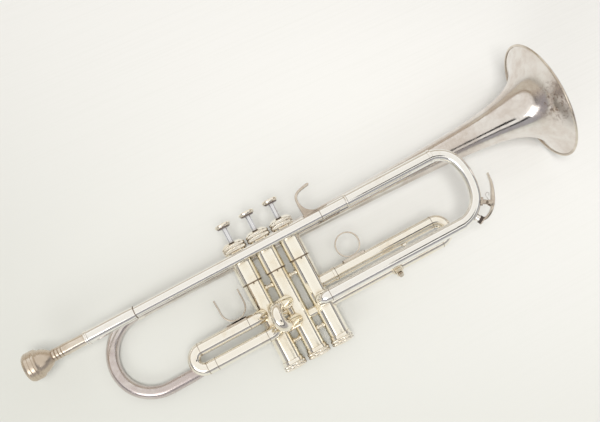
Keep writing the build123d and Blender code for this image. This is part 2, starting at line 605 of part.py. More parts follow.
with BuildPart() as upper_casings:
    for valve_x in VALVES_X:
        tube(Vector(valve_x, CASING_JOINT, 0), Y_AXIS, CASING_TOP - CASING_JOINT, UPPER_CASING_R, BORE_R)

with BuildPart() as top_caps:
    for valve_x in VALVES_X:
        turned([(16.8, 3.1), (16.8, 6.6), (16.3, 8.4), (14.6, 10.5), (13.8, 11.3), (13.4, 11.5), (11.4, 11.5),
                (11.0, 11.0), (10.6, 11.5), (7.7, 11.5), (7.3, 11.1), (7.3, UPPER_CASING_R),
                (CASING_TOP, UPPER_CASING_R), (CASING_TOP, 8.4), (11.8, 8.4), (11.8, 3.1)],
               Vector(valve_x, 0, 0), Y_AXIS)

with BuildPart() as bottom_caps:
    for valve_x in VALVES_X:
        turned([(-106.2, CASING_R), (-106.2, 10.4), (-109.4, 10.4), (-110.0, 11.1),
                (-112.0, 11.1), (-112.4, 10.7),
                (-112.8, 11.1), (-114.4, 11.1), (-115.2, 10.2), (-115.6, 7.5), (-115.6, 1.6), (-113.4, 1.6),
                (-113.4, 7.6), (CASING_BOTTOM, 7.6), (CASING_BOTTOM, CASING_R)],
               Vector(valve_x, 0, 0), Y_AXIS)

with BuildPart() as valve_guides:
    for valve_x in VALVES_X:
        guide_plane = Plane(origin=(valve_x, GUIDE_TOP - 1.8, 0), x_dir=X_AXIS, z_dir=Y_AXIS)
        with BuildSketch(guide_plane) as guide_bar:
            Circle(BORE_R)
            Rectangle(3.0, 20, mode=Mode.INTERSECT)
        extrude(guide_bar.sketch, amount=1.8)


def stem_body(x):
    """The rod from the spring barrel up to the finger button."""
    turned([(BARREL_TOP - 2, 0), (BARREL_TOP - 2, 1.4), (BARREL_TOP, 1.4), (BARREL_TOP, STEM_R),
            (BUTTON_Y, STEM_R), (BUTTON_Y, 1.5), (BUTTON_Y + 2, 1.5), (BUTTON_Y + 2, 0)],
           Vector(x, 0, 0), Y_AXIS)


with BuildPart() as stem_1:
    stem_body(VALVES_X[0])

with BuildPart() as stem_2:
    stem_body(VALVES_X[1])

with BuildPart() as stem_3:
    stem_body(VALVES_X[2])


def button_body(x):
    """A shallow dished finger button with a seat for its inlay and its felt."""
    y = BUTTON_Y
    turned([(y + 2, 0), (y + 2, 1.5), (y, 1.5), (y, 3.4), (y + 0.9, 3.4), (y + 0.9, 6.3),
            (y - 0.2, 6.5), (y - 0.2, 7.1), (y + 1.0, 7.7), (y + 2.0, BUTTON_R),
            (y + 2.7, BUTTON_R - 0.15), (y + 3.3, 7.3), (y + 3.5, 6.6),
            (y + 3.3, 6.1), (y + 2.7, 5.9), (y + 2.7, 0)], Vector(x, 0, 0), Y_AXIS)


with BuildPart() as button_1:
    button_body(VALVES_X[0])

with BuildPart() as button_2:
    button_body(VALVES_X[1])

with BuildPart() as button_3:
    button_body(VALVES_X[2])


def felt_washers(x):
    """The felt on top of the spring barrel and the one under the button."""
    tube(Vector(x, BARREL_TOP, 0), Y_AXIS, 2.7, 7.2, STEM_R)
    tube(Vector(x, BUTTON_Y - 1.0, 0), Y_AXIS, 1.9, 6.2, 3.4)
    tube(Vector(x, BUTTON_Y - 1.0, 0), Y_AXIS, 1.0, 6.2, STEM_R)


with BuildPart() as felts_1:
    felt_washers(VALVES_X[0])

with BuildPart() as felts_2:
    felt_washers(VALVES_X[1])

with BuildPart() as felts_3:
    felt_washers(VALVES_X[2])


def valve_spring_body(x):
    """The coil spring between the valve guide and the top of the spring barrel."""
    wire = 0.4
    low = GUIDE_TOP + wire + 0.05
    high = BARREL_TOP - 2 - wire - 0.05
    height = high - low
    coil_path = Helix(pitch=height / 9, height=height, radius=5.4, center=(x, low, 0), direction=(0, 1, 0))
    with BuildSketch(Plane(origin=coil_path @ 0, z_dir=coil_path % 0)) as wire_disc:
        Circle(wire)
    sweep(wire_disc.sketch, path=coil_path)


with BuildPart() as valve_spring_1:
    valve_spring_body(VALVES_X[0])

with BuildPart() as valve_spring_2:
    valve_spring_body(VALVES_X[1])

with BuildPart() as valve_spring_3:
    valve_spring_body(VALVES_X[2])

# ---------------------------------------------------------------- joining tubes and braces
with BuildPart() as crossovers:
    for gap_x, tube_y in zip((-VALVE_PITCH / 2, VALVE_PITCH / 2), CROSSOVER_Y):
        tube(Vector(gap_x - 7, tube_y, 0), X_AXIS, 14, CROSSOVER_R, PORT_R)
    for valve_x in VALVES_X:
        clear_casing(valve_x)

with BuildPart() as casing_braces:
    for gap_x in (-VALVE_PITCH / 2, VALVE_PITCH / 2):
        for brace_y in (-36.5, -92.1):
            rod(Vector(gap_x - 4, brace_y, 0), X_AXIS, 8, 1.6)
            for side in (-1, 1):
                rod(Vector(gap_x + side * 2.0, brace_y, 0), X_AXIS * side, 3.0, 2.9)
    for valve_x in VALVES_X:
        clear_casing(valve_x)


def cross_brace(x, right_r):
    """A post between the leadpipe side and the bell, with a round foot at each end."""
    left_z = BELL_Z + bell_radius(x)
    right_z = LEADPIPE_Z - right_r
    rod(Vector(x, 0, left_z - 2), Z_AXIS, right_z - left_z + 4, 1.7)
    rod(Vector(x, 0, left_z - 2), Z_AXIS, 3.0, 4.2)
    rod(Vector(x, 0, right_z - 1), Z_AXIS, 3.0, 3.6)
    rod(Vector(x - 6, 0, LEADPIPE_Z), X_AXIS, 12, right_r, Mode.SUBTRACT)


def bell_cutter():
    """The bell's outer form, to fit feet against."""
    with BuildSketch(Plane(origin=(0, 0, BELL_Z), x_dir=X_AXIS, z_dir=Z_AXIS)) as solid_bell:
        with BuildLine():
            Spline(*outside)
            Polyline(outside[-1], (outside[-1][0], 0), (outside[0][0], 0), outside[0])
        make_face()
    revolve(solid_bell.sketch, axis=Axis((0, 0, BELL_Z), (1, 0, 0)), mode=Mode.SUBTRACT)


with BuildPart() as bell_braces:
    for brace_x, leg_r in ((-98.0, LEADPIPE_R), (-64.0, LEADPIPE_R), (157.0, SLEEVE_R)):
        cross_brace(brace_x, leg_r)
    for valve_x in (VALVES_X[0], VALVES_X[2]):
        rod(Vector(valve_x, 0, 0), Z_AXIS, LEADPIPE_Z, 3.2)
        rod(Vector(valve_x, 0, 0), -Z_AXIS, -BELL_Z, 3.2)
    for valve_x in VALVES_X:
        clear_casing(valve_x, UPPER_CASING_R)
    rod(Vector(-60, 0, LEADPIPE_Z), X_AXIS, 120, LEADPIPE_R, Mode.SUBTRACT)
    bell_cutter()

HOOK_OUTER = ((46.2, 4.0), (45.6, 12.0), (45.4, 19.0), (46.2, 24.4), (48.6, 27.8), (52.8, 29.8),
              (57.8, 31.0), (62.8, 31.8))
HOOK_INNER = ((63.2, 29.2), (57.8, 28.4), (52.4, 27.0), (48.9, 24.2), (47.8, 20.2), (48.8, 15.0),
              (51.4, 10.4), (56.0, 7.4), (60.0, 5.6))
HOOK_FOOT_X = 57.5

with BuildPart() as pinky_hook:
    with BuildSketch(Plane(origin=(0, 0, LEADPIPE_Z - 3.25))) as hook_arm:
        with BuildLine():
            hook_back = Spline(*HOOK_OUTER)
            hook_front = Spline(*HOOK_INNER)
            ThreePointArc(hook_back @ 1, (64.3, 30.6), hook_front @ 0)
            Line(hook_front @ 1, hook_back @ 0)
        make_face()
    extrude(hook_arm.sketch, amount=6.5)
    foot_origin = (HOOK_FOOT_X, LEADPIPE_R - 1.6, LEADPIPE_Z)
    with BuildSketch(Plane(origin=foot_origin, x_dir=X_AXIS, z_dir=Y_AXIS)) as hook_foot:
        RectangleRounded(26.0, 6.5, 2.4)
    extrude(hook_foot.sketch, amount=2.6)
    rod(Vector(HOOK_FOOT_X - 22, 0, LEADPIPE_Z), X_AXIS, 60, LEADPIPE_R, Mode.SUBTRACT)

# ---------------------------------------------------------------- lay it down and write it out
# The instrument rests on the bell's rim and on the back of the bell bow.
REST_PITCH = -6.21
REST_ROLL = 14.16
tilt = Location((0, 0, 0), (0, REST_PITCH, 0)) * Location((0, 0, 0), (REST_ROLL, 0, 0))

pieces = {
    "bell": bell, "bell_rim_wire": bell_rim_wire, "bell_bow": bell_bow, "mouthpiece": mouthpiece,
    "receiver": receiver, "leadpipe": leadpipe, "ring_ferrules": ring_ferrules,
    "main_sleeve_upper": main_sleeve_upper, "main_sleeve_lower": main_sleeve_lower, "main_bow": main_bow,
    "main_slide_tubes": main_slide_tubes, "main_ferrules": main_ferrules,
    "water_key_nipple": water_key_nipple, "water_key_post": water_key_post,
    "water_key_lever": water_key_lever, "water_key_cork": water_key_cork,
    "water_key_spring": water_key_spring, "water_key_screw": water_key_screw,
    "first_upper_tube": first_upper_tube, "first_lower_sleeve": first_lower_sleeve,
    "first_outer_tube": first_outer_tube, "first_inner_tube": first_inner_tube, "first_bow": first_bow,
    "thumb_saddle": thumb_saddle, "second_sleeves": second_sleeves, "second_tubes": second_tubes,
    "second_bow": second_bow, "third_tubes": third_tubes, "third_outer_tubes": third_outer_tubes,
    "third_bow": third_bow, "third_ring": third_ring, "third_brace": third_brace,
    "lyre_holder": lyre_holder, "lyre_screw": lyre_screw,
    "casing_1": casing_1, "casing_2": casing_2, "casing_3": casing_3, "upper_casings": upper_casings,
    "top_caps": top_caps, "bottom_caps": bottom_caps, "valve_guides": valve_guides,
    "piston_1": piston_1, "piston_2": piston_2, "piston_3": piston_3,
    "stem_1": stem_1, "stem_2": stem_2, "stem_3": stem_3,
    "button_1": button_1, "button_2": button_2, "button_3": button_3,
    "felts_1": felts_1, "felts_2": felts_2, "felts_3": felts_3,
    "valve_spring_1": valve_spring_1, "valve_spring_2": valve_spring_2, "valve_spring_3": valve_spring_3,
    "crossovers": crossovers, "casing_braces": casing_braces, "bell_braces": bell_braces,
    "pinky_hook": pinky_hook,
}

box = Compound([piece.part.moved(tilt) for piece in pieces.values()]).bounding_box()
resting = Location((-box.center().X, -box.center().Y, -box.min.Z)) * tilt

os.makedirs("parts", exist_ok=True)
for name, piece in pieces.items():
    laid = piece.part.moved(resting)
    laid.label = name
    export_step(laid, f"parts/{name}.step")
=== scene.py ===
import math

import bmesh
import bpy
from mathutils import Matrix, Vector


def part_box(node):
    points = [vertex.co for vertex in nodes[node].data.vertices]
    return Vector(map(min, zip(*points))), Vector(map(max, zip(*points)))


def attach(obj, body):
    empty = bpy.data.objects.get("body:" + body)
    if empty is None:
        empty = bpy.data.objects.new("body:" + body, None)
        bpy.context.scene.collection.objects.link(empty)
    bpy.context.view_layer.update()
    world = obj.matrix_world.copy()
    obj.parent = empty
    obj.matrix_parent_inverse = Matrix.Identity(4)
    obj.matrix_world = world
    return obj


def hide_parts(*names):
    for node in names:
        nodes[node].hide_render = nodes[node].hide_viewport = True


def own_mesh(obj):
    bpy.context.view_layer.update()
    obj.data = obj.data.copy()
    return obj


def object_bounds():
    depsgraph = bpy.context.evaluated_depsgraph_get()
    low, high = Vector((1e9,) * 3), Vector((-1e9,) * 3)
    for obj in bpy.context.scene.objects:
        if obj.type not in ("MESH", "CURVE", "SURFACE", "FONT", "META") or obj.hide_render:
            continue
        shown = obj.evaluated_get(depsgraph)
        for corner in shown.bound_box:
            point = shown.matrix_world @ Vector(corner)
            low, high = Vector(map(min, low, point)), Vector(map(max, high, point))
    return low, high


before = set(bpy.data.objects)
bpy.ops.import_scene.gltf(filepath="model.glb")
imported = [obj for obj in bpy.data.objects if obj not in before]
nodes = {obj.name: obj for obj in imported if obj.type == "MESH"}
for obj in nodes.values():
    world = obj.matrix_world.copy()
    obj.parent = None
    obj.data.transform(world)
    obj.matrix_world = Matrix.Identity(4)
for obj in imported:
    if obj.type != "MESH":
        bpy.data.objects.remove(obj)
cad_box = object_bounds()

# ------------------------------------------------------------------ the instrument's own frame
# The trumpet is laid on its left side. Its own frame has +X towards the bell, +Y towards the
# buttons and +Z to the player's right, with the origin on valve 2 at the leadpipe's level.
MM = 0.001
LAID = Matrix.Rotation(math.radians(-6.21), 4, "Y") @ Matrix.Rotation(math.radians(14.16), 4, "X")
BELL_Z = -20.5
RIM_CENTRE = Vector((310.4, 0, BELL_Z)) * MM
rim_low, rim_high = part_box("bell_rim_wire")
TO_ROW = Matrix.Translation((rim_low + rim_high) / 2 - LAID @ RIM_CENTRE) @ LAID

X_AXIS = Vector((1, 0, 0))
Y_AXIS = Vector((0, 1, 0))
Z_AXIS = Vector((0, 0, 1))
VALVES_X = (-25.0, 0.0, 25.0)
LEADPIPE_Z = 17.4


# ------------------------------------------------------------------ mesh helpers (millimetres)
def finish_piece(name, mesh, material, body, replaced=(), sharp=40):
    """Link a mesh drawn in the instrument's frame, in mm, and make it ride on a body."""
    mesh.transform(Matrix.Scale(MM, 4))
    for polygon in mesh.polygons:
        polygon.use_smooth = True
    mesh.set_sharp_from_angle(angle=math.radians(sharp))
    piece = bpy.data.objects.new(name, mesh)
    bpy.context.scene.collection.objects.link(piece)
    piece.matrix_world = TO_ROW
    mesh.materials.append(material)
    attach(piece, body)
    if replaced:
        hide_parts(*replaced)
    return piece


def side_axes(axis):
    """Two unit vectors across an axis."""
    axis = axis.normalized()
    helper = Z_AXIS if abs(axis.z) < 0.7 else X_AXIS
    first = axis.cross(helper).normalized()
    return first, axis.cross(first).normalized()


def rounded(profile, radius, steps=3, closed=True):
    """Small arcs in place of a profile's corners."""
    result = []
    count = len(profile)
    for i, point in enumerate(profile):
        here = Vector(point)
        if not closed and i in (0, count - 1):
            result.append(here)
            continue
        before = Vector(profile[i - 1])
        after = Vector(profile[(i + 1) % count])
        reach = min(radius, (before - here).length * 0.4, (after - here).length * 0.4)
        start = here + (before - here).normalized() * reach
        end = here + (after - here).normalized() * reach
        for step in range(steps + 1):
            t = step / steps
            result.append(start * (1 - t) ** 2 + here * 2 * t * (1 - t) + end * t ** 2)
    return result


def lathe(bm, profile, origin, axis, segments=72, ripple=None):
    """Turn a closed (along, radius) profile about an axis; ripple(angle, along, radius) carves it."""
    axis = axis.normalized()
    first, second = side_axes(axis)
    rings = []
    for along, radius in profile:
        if radius < 1e-4:
            rings.append([bm.verts.new(origin + axis * along)])
            continue
        ring = []
        for i in range(segments):
            angle = 2 * math.pi * i / segments
            r = ripple(angle, along, radius) if ripple else radius
            outward = first * math.cos(angle) + second * math.sin(angle)
            ring.append(bm.verts.new(origin + axis * along + outward * r))
        rings.append(ring)
    for ring, after in zip(rings, rings[1:] + rings[:1]):
        if len(ring) == 1 and len(after) == 1:
            continue
        for i in range(segments):
            j = (i + 1) % segments
            if len(ring) == 1:
                bm.faces.new((ring[0], after[j], after[i]))
            elif len(after) == 1:
                bm.faces.new((ring[i], ring[j], after[0]))
            else:
                bm.faces.new((ring[i], ring[j], after[j], after[i]))


def turned(name, profiles, material, body, replaced=(), segments=72, ripple=None, sharp=40):
    """One piece of one or more turned solids, each (profile, origin, axis)."""
    bm = bmesh.new()
    for profile, origin, axis in profiles:
        lathe(bm, profile, origin, axis, segments, ripple)
    return finish_piece(name, mesh_of(name, bm), material, body, replaced, sharp)


def smooth_line(points, steps=6):
    """A Catmull-Rom line through the points."""
    points = [Vector(p) for p in points]
    ends = [points[0] * 2 - points[1]] + points + [points[-1] * 2 - points[-2]]
    line = []
    for a, b, c, d in zip(ends, ends[1:], ends[2:], ends[3:]):
        for step in range(steps):
            t = step / steps
            line.append(0.5 * (2 * b + (c - a) * t + (2 * a - 5 * b + 4 * c - d) * t ** 2
                               + (3 * b - a - 3 * c + d) * t ** 3))
    line.append(points[-1])
    return line


def plate(bm, outline, low, high, bevel):
    """A flat part with rounded edges: an outline in X and Y, from one Z to another."""
    verts = [bm.verts.new((x, y, low)) for x, y in outline]
    bottom = bm.faces.new(verts)
    raised = bmesh.ops.extrude_face_region(bm, geom=[bottom])
    top = [v for v in raised["geom"] if isinstance(v, bmesh.types.BMVert)]
    bmesh.ops.translate(bm, verts=top, vec=(0, 0, high - low))
    edges = set()
    for ring in (verts, top):
        members = set(ring)
        for vert in ring:
            for edge in vert.link_edges:
                if edge.other_vert(vert) in members:
                    edges.add(edge)
    bmesh.ops.bevel(bm, geom=list(edges), offset=bevel, segments=3, profile=0.5, affect="EDGES")


def wire(bm, line, radius, segments=10):
    """A round wire along a line, closed at both ends."""
    rings = []
    normal = None
    for i, here in enumerate(line):
        ahead = (line[min(i + 1, len(line) - 1)] - line[max(i - 1, 0)]).normalized()
        if normal is None:
            normal = side_axes(ahead)[0]
        normal = (normal - ahead * normal.dot(ahead)).normalized()
        across = ahead.cross(normal)
        rings.append([bm.verts.new(here + (normal * math.cos(a) + across * math.sin(a)) * radius)
                      for a in (2 * math.pi * k / segments for k in range(segments))])
    for ring, after in zip(rings, rings[1:]):
        for k in range(segments):
            j = (k + 1) % segments
            bm.faces.new((ring[k], ring[j], after[j], after[k]))
    bm.faces.new(list(reversed(rings[0])))
    bm.faces.new(rings[-1])


def mesh_of(name, bm):
    """Turn the drawn faces into a mesh, with every face pointing outwards."""
    bmesh.ops.recalc_face_normals(bm, faces=bm.faces)
    mesh = bpy.data.meshes.new(name)
    bm.to_mesh(mesh)
    bm.free()
    return mesh


# ------------------------------------------------------------------ node graph helper
class Graph:
    """Short calls for building a material's nodes."""

    def __init__(self, tree):
        self.tree = tree
        tree.nodes.clear()

    def node(self, kind, inputs=None, **settings):
        made = self.tree.nodes.new(kind)
        for key, value in settings.items():
            setattr(made, key, value)
        for key, value in (inputs or {}).items():
            if isinstance(value, bpy.types.NodeSocket):
                self.tree.links.new(value, made.inputs[key])
            else:
                made.inputs[key].default_value = value
        return made

    def maths(self, operation, a, b=0.0, clamp=False):
        return self.node("ShaderNodeMath", {0: a, 1: b}, operation=operation, use_clamp=clamp).outputs[0]

    def ramp(self, value, low, high, to_low=0.0, to_high=1.0):
        made = self.node("ShaderNodeMapRange", {"Value": value, "From Min": low, "From Max": high,
                                                "To Min": to_low, "To Max": to_high})
        made.interpolation_type = "SMOOTHSTEP"
        return made.outputs[0]

    def noise(self, vector, scale, detail=3.0, roughness=0.55, distortion=0.0):
        made = self.node("ShaderNodeTexNoise", {"Vector": vector, "Scale": scale, "Detail": detail,
                                                "Roughness": roughness, "Distortion": distortion})
        return made.outputs["Fac"]

    def mix(self, factor, a, b):
        made = self.node("ShaderNodeMix", data_type="RGBA")
        for socket, value in ((made.inputs[0], factor), (made.inputs[6], a), (made.inputs[7], b)):
            if isinstance(value, bpy.types.NodeSocket):
                self.tree.links.new(value, socket)
            else:
                socket.default_value = value
        return made.outputs[2]


def rgb(r, g, b):
    """An opaque colour."""
    return (r, g, b, 1.0)


def new_material(name):
    """A material, and the graph that fills it."""
    material = bpy.data.materials.new(name)
    material.use_nodes = True
    return material, Graph(material.node_tree)


# ------------------------------------------------------------------ silver plate
CLEAN = rgb(0.955, 0.935, 0.895)
TAN = rgb(0.80, 0.68, 0.50)
MAUVE = rgb(0.56, 0.48, 0.47)
BROWN = rgb(0.30, 0.23, 0.19)


def silver(name, clean=CLEAN, veil=TAN, deep=BROWN, patches=(0.52, 0.78), veil_amount=0.45,
           crevice_shade_and_tarnish=0.7, gloss=0.07, blotch_at=None, blotch_reach=0.03):
    """Silver plate with a thin uneven tarnish, painted shade and tarnish darkening its crevices, and fine
    polishing marks.
    """
    material, g = new_material(name)
    coords = g.node("ShaderNodeTexCoord").outputs["Object"]
    broad = g.noise(coords, 28, 3, 0.6, 0.3)
    mottled = g.noise(coords, 130, 5, 0.62, 0.5)
    cloud = g.maths("ADD", g.maths("MULTIPLY", broad, 0.65), g.maths("MULTIPLY", mottled, 0.35))
    patch = g.ramp(cloud, patches[0], patches[1])
    specks = g.ramp(g.noise(coords, 420, 4, 0.7), 0.66, 0.74)
    # Painted shade: ambient occlusion darkens crevices and the gaps between parts towards the deep colour,
    # partly for tarnish in hollows, partly for the shade that falls there.
    occluded = g.node("ShaderNodeAmbientOcclusion", {"Distance": 0.006}, samples=6).outputs["AO"]
    painted_crevice_shade = g.ramp(occluded, 0.92, 0.30)
    colour = g.mix(g.maths("MULTIPLY", patch, veil_amount), clean, veil)
    colour = g.mix(g.maths("MULTIPLY", painted_crevice_shade, crevice_shade_and_tarnish), colour, g.mix(painted_crevice_shade, veil, deep))
    colour = g.mix(g.maths("MULTIPLY", specks, 0.22), colour, deep)
    tarnish = g.maths("MULTIPLY", patch, veil_amount)
    if blotch_at is not None:
        offset = g.node("ShaderNodeVectorMath", {0: coords, 1: blotch_at}, operation="DISTANCE")
        spread = offset.outputs["Value"]
        near = g.ramp(spread, blotch_reach, blotch_reach * 0.15)
        torn = g.ramp(g.noise(coords, 210, 6, 0.75, 0.9), 0.50, 0.60)
        stain = g.maths("MULTIPLY", near, torn)
        soft = g.maths("MULTIPLY", near, 0.45)
        colour = g.mix(soft, colour, MAUVE)
        colour = g.mix(stain, colour, BROWN)
        tarnish = g.maths("ADD", tarnish, g.maths("MULTIPLY", stain, 0.8))
    streaks = g.node("ShaderNodeMapping", {"Vector": coords, "Scale": (60, 2600, 2600)}).outputs[0]
    polish = g.noise(streaks, 1.0, 2, 0.5)
    roughness = g.maths("ADD", g.maths("MULTIPLY", tarnish, 0.22), g.maths("MULTIPLY", polish, 0.05))
    roughness = g.maths("ADD", roughness, gloss, clamp=True)
    height = g.maths("ADD", g.maths("MULTIPLY", polish, 0.25), g.maths("MULTIPLY", mottled, 1.0))
    bump = g.node("ShaderNodeBump", {"Strength": 0.35, "Distance": 0.00004, "Height": height}).outputs[0]
    shader = g.node("ShaderNodeBsdfPrincipled", {"Base Color": colour, "Metallic": 1.0,
                                                 "Roughness": roughness, "Normal": bump})
    g.node("ShaderNodeOutputMaterial", {"Surface": shader.outputs[0]})
    return material


def plain_metal(name, colour, gloss, grain):
    """Bare valve or spring metal with a fine lapped grain."""
    material, g = new_material(name)
    coords = g.node("ShaderNodeTexCoord").outputs["Object"]
    lapped = g.noise(coords, grain, 3, 0.6)
    wear = g.noise(coords, 90, 4, 0.6)
    shade = g.mix(g.ramp(wear, 0.35, 0.75), colour, tuple(0.72 * c for c in colour[:3]) + (1.0,))
    roughness = g.maths("ADD", g.maths("MULTIPLY", lapped, 0.18), gloss)
    bump = g.node("ShaderNodeBump", {"Strength": 0.3, "Distance": 0.00003, "Height": lapped}).outputs[0]
    shader = g.node("ShaderNodeBsdfPrincipled", {"Base Color": shade, "Metallic": 1.0,
                                                 "Roughness": roughness, "Normal": bump})
    g.node("ShaderNodeOutputMaterial", {"Surface": shader.outputs[0]})
    return material


def felt_material():
    """Dark brown felt with loose fibres and a little dirt."""
    material, g = new_material("felt_fibres")
    coords = g.node("ShaderNodeTexCoord").outputs["Object"]
    fibres = g.noise(coords, 2600, 6, 0.8, 0.6)
    dirt = g.noise(coords, 260, 3, 0.6)
    colour = g.mix(fibres, rgb(0.045, 0.030, 0.026), rgb(0.16, 0.11, 0.095))
    colour = g.mix(g.ramp(dirt, 0.5, 0.8), colour, rgb(0.22, 0.18, 0.15))
    bump = g.node("ShaderNodeBump", {"Strength": 0.9, "Distance": 0.0003, "Height": fibres}).outputs[0]
    shader = g.node("ShaderNodeBsdfPrincipled", {"Base Color": colour, "Roughness": 0.95, "Normal": bump,
                                                 "Sheen Weight": 0.4, "Specular IOR Level": 0.2})
    g.node("ShaderNodeOutputMaterial", {"Surface": shader.outputs[0]})
    return material


def cork_material():
    """Blackened cork with grains and pores."""
    material, g = new_material("cork_grains")
    coords = g.node("ShaderNodeTexCoord").outputs["Object"]
    cells = g.node("ShaderNodeTexVoronoi", {"Vector": coords, "Scale": 1900.0}).outputs["Distance"]
    pores = g.noise(coords, 900, 4, 0.7)
    colour = g.mix(g.ramp(cells, 0.1, 0.7), rgb(0.030, 0.024, 0.022), rgb(0.085, 0.065, 0.055))
    colour = g.mix(g.ramp(pores, 0.6, 0.75), colour, rgb(0.012, 0.010, 0.010))
    bump = g.node("ShaderNodeBump", {"Strength": 0.8, "Distance": 0.0002, "Height": cells}).outputs[0]
    shader = g.node("ShaderNodeBsdfPrincipled", {"Base Color": colour, "Roughness": 0.8, "Normal": bump})
    g.node("ShaderNodeOutputMaterial", {"Surface": shader.outputs[0]})
    return material


def pearl_material():
    """Mother-of-pearl in soft coloured layers."""
    material, g = new_material("pearl_inlay")
    coords = g.node("ShaderNodeTexCoord").outputs["Object"]
    layers = g.noise(coords, 240, 5, 0.6, 2.2)
    waves = g.noise(coords, 900, 3, 0.5, 1.2)
    colour = g.mix(g.ramp(layers, 0.3, 0.7), rgb(0.86, 0.84, 0.80), rgb(0.74, 0.80, 0.80))
    colour = g.mix(g.ramp(waves, 0.45, 0.7), colour, rgb(0.90, 0.80, 0.80))
    bump = g.node("ShaderNodeBump", {"Strength": 0.1, "Distance": 0.00005, "Height": layers}).outputs[0]
    shader = g.node("ShaderNodeBsdfPrincipled", {"Base Color": colour, "Roughness": 0.16, "Normal": bump,
                                                 "Coat Weight": 0.6, "Coat Roughness": 0.05})
    g.node("ShaderNodeOutputMaterial", {"Surface": shader.outputs[0]})
    return material


SILVER = silver("silver_tubes", clean=rgb(0.93, 0.915, 0.88), veil=rgb(0.74, 0.66, 0.55), crevice_shade_and_tarnish=0.85)
SILVER_WARM = silver("silver_valves", clean=rgb(0.95, 0.915, 0.835), veil=rgb(0.80, 0.65, 0.42),
                     patches=(0.44, 0.70), veil_amount=0.45, crevice_shade_and_tarnish=0.95)
SILVER_CASING = silver("silver_casings", clean=rgb(0.965, 0.93, 0.83), veil=rgb(0.82, 0.67, 0.42),
                       deep=rgb(0.36, 0.22, 0.09), patches=(0.42, 0.70), veil_amount=0.45, crevice_shade_and_tarnish=1.0)
SILVER_STEM = silver("silver_stems", clean=rgb(0.80, 0.81, 0.84), veil=rgb(0.55, 0.53, 0.52), crevice_shade_and_tarnish=0.8)
# Partly tarnish, partly painted shade: a darker silver for the rim wire, hook, saddle, ring and water key, so
# that their edges read as dark outlines.
SILVER_DULL = silver("silver_tarnish_and_painted_shade", clean=rgb(0.72, 0.66, 0.58), veil=rgb(0.40, 0.32, 0.25),
                     patches=(0.38, 0.66), veil_amount=0.7, crevice_shade_and_tarnish=0.9, gloss=0.10)
SILVER_MAUVE = silver("silver_bow", clean=rgb(0.74, 0.70, 0.67), veil=MAUVE, patches=(0.36, 0.62),
                      veil_amount=0.75, gloss=0.10)
SILVER_BELL = silver("silver_bell", clean=rgb(0.80, 0.77, 0.735), veil=rgb(0.60, 0.515, 0.455),
                     patches=(0.38, 0.64), veil_amount=0.65, gloss=0.06,
                     blotch_at=TO_ROW @ (Vector((306, -11, 27)) * MM), blotch_reach=0.031)
SILVER_MOUTH = silver("silver_mouthpiece", clean=rgb(0.80, 0.73, 0.64), veil=rgb(0.54, 0.44, 0.34),
                      patches=(0.36, 0.62), veil_amount=0.7, gloss=0.12)
PISTON = plain_metal("piston_nickel", rgb(0.70, 0.67, 0.62), 0.16, 1400)
SPRING = plain_metal("spring_steel", rgb(0.62, 0.60, 0.57), 0.20, 1800)
FELT = felt_material()
CORK = cork_material()
PEARL = pearl_material()

CAD_FINISH = {
    "bell": SILVER_BELL, "bell_rim_wire": SILVER_DULL, "bell_bow": SILVER_MAUVE,
    "pinky_hook": SILVER_DULL, "thumb_saddle": SILVER_DULL, "third_ring": SILVER_DULL,
    "water_key_post": SILVER_DULL, "water_key_screw": SILVER_DULL, "lyre_screw": SILVER_DULL,
    "mouthpiece": SILVER_MOUTH, "water_key_cork": CORK,
    "water_key_spring": SPRING, "valve_guides": PISTON,
}
for name in nodes:
    if name.startswith(("casing", "upper_casings", "crossovers")):
        CAD_FINISH.setdefault(name, SILVER_CASING)
    if name.startswith("stem"):
        CAD_FINISH.setdefault(name, SILVER_STEM)
    if name.startswith(("second", "third", "first", "lyre")):
        CAD_FINISH.setdefault(name, SILVER_WARM)
    if name.startswith("piston"):
        CAD_FINISH.setdefault(name, PISTON)
    if name.startswith("felts"):
        CAD_FINISH.setdefault(name, FELT)
    if name.startswith("valve_spring"):
        CAD_FINISH.setdefault(name, SPRING)
for name, node in nodes.items():
    finish = CAD_FINISH.get(name, SILVER)
    for slot in node.material_slots:
        slot.material = finish

# ------------------------------------------------------------------ caps, buttons and inlays
KNURL_TEETH = 72
KNURL_DEPTH = 0.28
KNURL_FADE = 0.25
CAP_SEGMENTS = KNURL_TEETH * 4


def knurl(bands, outer):
    """Straight knurling: teeth cut around the given bands of a cap."""
    def ripple(angle, along, radius):
        if radius < outer - 0.15:
            return radius
        for low, high in bands:
            if low - 0.01 <= along <= high + 0.01:
                edge = min(along - low, high - along)
                fade = max(0.0, min(1.0, edge / KNURL_FADE))
                return radius - KNURL_DEPTH * fade * (0.5 - 0.5 * math.cos(KNURL_TEETH * angle))
        return radius
    return ripple


def with_steps(start, end, radius, steps=7):
    """Extra points along a knurled band, so that its teeth can fade out at both edges."""
    return [Vector((start + (end - start) * i / steps, radius)) for i in range(steps + 1)]


def on_valves(profile):
    """The same profile turned about each valve's axis."""
    return [(profile, Vector((x, 0, 0)), Y_AXIS) for x in VALVES_X]


TOP_R = 11.5
TOP_BANDS = ((7.75, 10.55), (11.45, 13.35))
top_profile = (rounded([(7.3, 10.3), (10.9, 10.3), (10.9, 8.4), (11.8, 8.4), (11.8, 3.1), (16.7, 3.1),
                        (16.75, 6.6), (16.25, 8.4), (14.6, 10.5), (13.9, 11.2)], 0.3, closed=False)
               + with_steps(13.4, 11.4, TOP_R) + [Vector((11.15, 11.1)), Vector((10.85, 11.1))]
               + with_steps(10.6, 7.7, TOP_R) + [Vector((7.4, 11.2)), Vector((7.3, 10.9))])
turned("top_caps_knurled", on_valves(top_profile), SILVER_WARM, "body", ("top_caps",),
       segments=CAP_SEGMENTS, ripple=knurl(TOP_BANDS, TOP_R), sharp=50)

